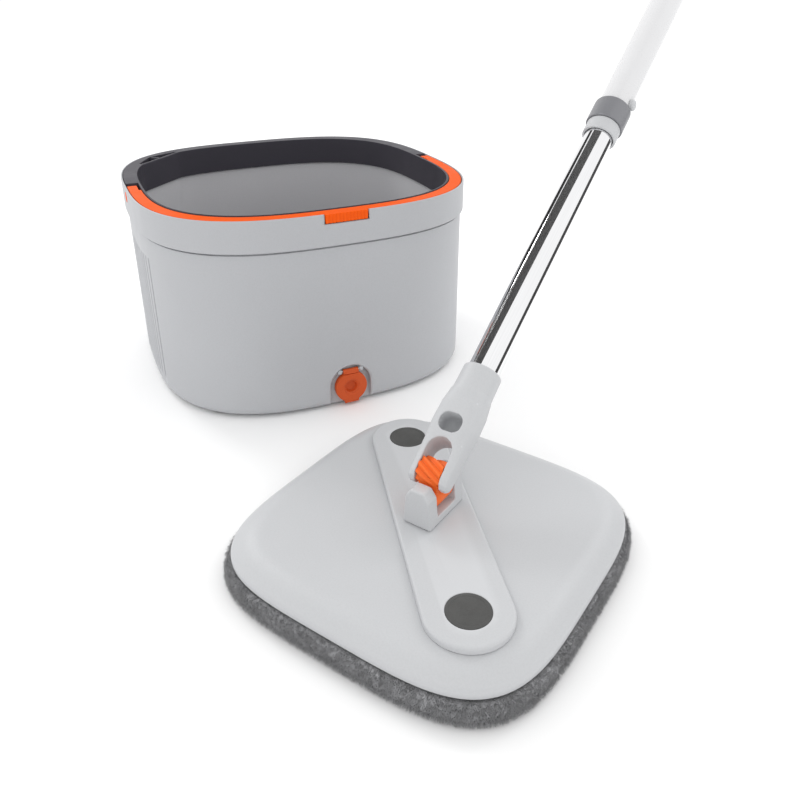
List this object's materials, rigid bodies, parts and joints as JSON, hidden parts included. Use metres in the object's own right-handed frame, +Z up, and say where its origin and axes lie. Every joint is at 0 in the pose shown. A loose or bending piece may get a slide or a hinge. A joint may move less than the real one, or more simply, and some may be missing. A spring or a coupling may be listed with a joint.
{
  "type": "mop and bucket with wringer",
  "caption": "Square bucket with a free-spinning wringing plate, carrying handle and drain plug, and a square flat mop on a tilting push-to-spin pole.",
  "frame": {"origin": "middle of the bucket's underside, on the floor", "axes": "+Z up; -Y out of the bucket's front, where the drain plug is; +X to the right seen from the front"},
  "size_m": [0.939, 0.6489, 0.7414],
  "materials": {
    "light_grey_plastic": "satin moulded polypropylene",
    "pale_grey_plastic": "satin moulded plastic",
    "mid_grey_plastic": "satin moulded plastic",
    "dark_grey_plastic": "smooth moulded plastic",
    "orange_plastic": "satin moulded plastic",
    "bearing_plastic": "natural acetal",
    "white_enamel": "gloss enamel on steel tube",
    "chrome": "bright polished steel tube",
    "steel": "plain steel",
    "grey_rubber": "matt soft rubber",
    "grey_hooks": "woven hook tape",
    "grey_microfibre": "plush microfibre pile"
  },
  "bodies": {
    "bucket": {"bucket_shell": "light_grey_plastic", "rim_collar": "light_grey_plastic", "inner_frame": "dark_grey_plastic", "wash_basin": "mid_grey_plastic", "bearing_housing": "mid_grey_plastic", "lower_bush": "bearing_plastic", "upper_bush": "bearing_plastic", "thrust_ball": "steel", "centre_foot": "grey_rubber", "foot_front_left": "grey_rubber", "foot_front_right": "grey_rubber", "foot_back_left": "grey_rubber", "foot_back_right": "grey_rubber"},
    "spinner": {"spindle": "steel", "spindle_clip": "steel", "spin_plate": "dark_grey_plastic", "spin_plate_cap": "orange_plastic"},
    "bail": {"bail_handle": "orange_plastic", "bail_pivot_left": "orange_plastic", "bail_pivot_right": "orange_plastic"},
    "plug": {"drain_plug": "orange_plastic", "plug_hinge_pin": "steel", "plug_seal": "grey_rubber"},
    "mop_head": {"mop_pad": "grey_microfibre", "hook_strip_front": "grey_hooks", "hook_strip_back": "grey_hooks", "hook_strip_left": "grey_hooks", "hook_strip_right": "grey_hooks", "base_plate": "light_grey_plastic", "plate_screw_1": "steel", "plate_screw_2": "steel", "plate_screw_3": "steel", "plate_screw_4": "steel", "top_cover": "pale_grey_plastic", "centre_bar": "pale_grey_plastic", "round_cap_near": "grey_rubber", "round_cap_far": "grey_rubber", "bar_screw_near": "steel", "bar_screw_far": "steel", "yoke_bracket": "pale_grey_plastic"},
    "knuckle": {"knuckle": "orange_plastic", "knuckle_pin": "steel", "fork_pin": "steel"},
    "lower_pole": {"fork_socket": "light_grey_plastic", "socket_screw": "steel", "lower_tube": "chrome", "clutch_housing": "bearing_plastic", "clutch_cap": "bearing_plastic"},
    "drive_nut": {"drive_nut": "bearing_plastic"},
    "upper_pole": {"upper_tube": "white_enamel", "rod_anchor": "dark_grey_plastic", "slide_collar": "light_grey_plastic", "lock_detent": "light_grey_plastic", "grip": "dark_grey_plastic", "hang_cap": "light_grey_plastic", "twisted_rod": "steel"},
    "lock_ring": {"lock_ring": "dark_grey_plastic"}
  },
  "joints": [
    {"name": "plate_spin", "type": "hinge", "parent": "bucket", "child": "spinner", "pos_m": [0, 0, 0], "axis": [0, 0, 1], "continuous": true},
    {"name": "bail_lift", "type": "hinge", "parent": "bucket", "child": "bail", "pos_m": [0, 0, 0.1735], "axis": [-1, 0, 0], "range_deg": [0, 95]},
    {"name": "plug_swing", "type": "hinge", "parent": "bucket", "child": "plug", "pos_m": [0, -0.151, 0.0345], "axis": [-1, 0, 0], "range_deg": [0, 100]},
    {"name": "mop_lift", "type": "slide", "parent": "bucket", "child": "mop_head", "axis": [0, 0, 1], "range_m": [0, 0.25]},
    {"name": "side_tilt", "type": "hinge", "parent": "mop_head", "child": "knuckle", "pos_m": [-0.0212, -0.3578, 0.05], "axis": [0.859, 0.512, 0], "range_deg": [-31.8, 36.2]},
    {"name": "pole_lean", "type": "hinge", "parent": "knuckle", "child": "lower_pole", "pos_m": [-0.02136, -0.35753, 0.065], "axis": [-0.5119, 0.8588, -0.0209], "range_deg": [-129.5, 20.5]},
    {"name": "pole_stroke", "type": "slide", "parent": "lower_pole", "child": "upper_pole", "axis": [0.6931, 0.4273, 0.5806], "range_m": [-0.19, 0]},
    {"name": "nut_turn", "type": "hinge", "parent": "lower_pole", "child": "drive_nut", "pos_m": [0.41111, -0.09089, 0.42728], "axis": [0.6931, 0.4273, 0.5806], "range_deg": [0, 430]},
    {"name": "lock_turn", "type": "hinge", "parent": "upper_pole", "child": "lock_ring", "pos_m": [0.19474, -0.22429, 0.24602], "axis": [0.6931, 0.4273, 0.5806], "range_deg": [0, 60]}
  ],
  "couplings": [
    {"joint": "nut_turn", "follows": "pole_stroke", "rad_per_m": -39.27}
  ]
}
